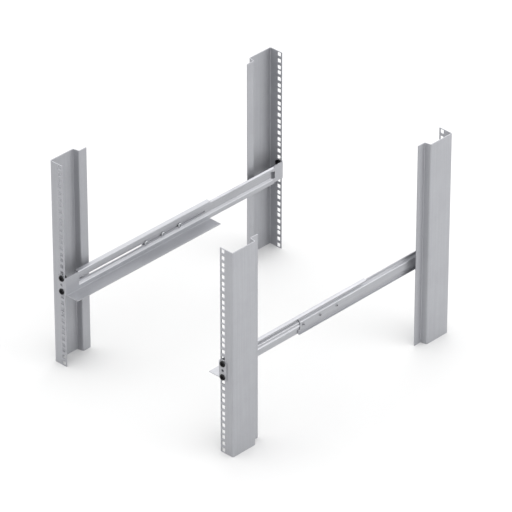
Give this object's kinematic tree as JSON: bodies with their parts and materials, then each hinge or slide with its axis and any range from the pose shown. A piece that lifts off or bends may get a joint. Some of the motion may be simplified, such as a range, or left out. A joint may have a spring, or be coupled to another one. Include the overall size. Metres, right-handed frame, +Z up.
{
  "type": "sliding server rail pair",
  "caption": "Depth-adjustable sheet-metal server rails with ledges, telescoping in slots and screwed to folded square-hole rack uprights.",
  "frame": {"origin": "on the floor under the uprights, midway between left and right and between front and rear at the depth in the picture", "axes": "+X to the right seen from the front, +Y to the rear along the rails, +Z up along the uprights"},
  "size_m": [0.52, 0.6626, 0.489],
  "materials": {
    "galvanised_upright": "satin",
    "galvanised_rail": "satin",
    "zinc_fastener": "satin",
    "black_steel": "satin",
    "black_plastic": "matte"
  },
  "bodies": {
    "front_frame": {"right_front_rail": "galvanised_rail", "left_front_rail": "galvanised_rail", "front_right_upright": "galvanised_upright", "front_left_upright": "galvanised_upright", "front_nut_cages": "black_steel", "front_square_nuts": "black_steel", "front_cup_washers": "black_plastic", "front_mounting_screws": "black_steel"},
    "left_rear": {"left_rear_rail": "galvanised_rail", "left_clamp_screws": "zinc_fastener", "rear_left_upright": "galvanised_upright", "rear_left_nut_cages": "black_steel", "rear_left_square_nuts": "black_steel", "rear_left_cup_washers": "black_plastic", "rear_left_mounting_screws": "black_steel"},
    "right_rear": {"right_rear_rail": "galvanised_rail", "right_clamp_screws": "zinc_fastener", "rear_right_upright": "galvanised_upright", "rear_right_nut_cages": "black_steel", "rear_right_square_nuts": "black_steel", "rear_right_cup_washers": "black_plastic", "rear_right_mounting_screws": "black_steel"}
  },
  "joints": [
    {"name": "right_depth_slide", "type": "slide", "parent": "front_frame", "child": "right_rear", "axis": [0, 1, 0], "range_m": [-0.19, 0.07]},
    {"name": "left_depth_slide", "type": "slide", "parent": "front_frame", "child": "left_rear", "axis": [0, 1, 0], "range_m": [-0.19, 0.07]}
  ]
}
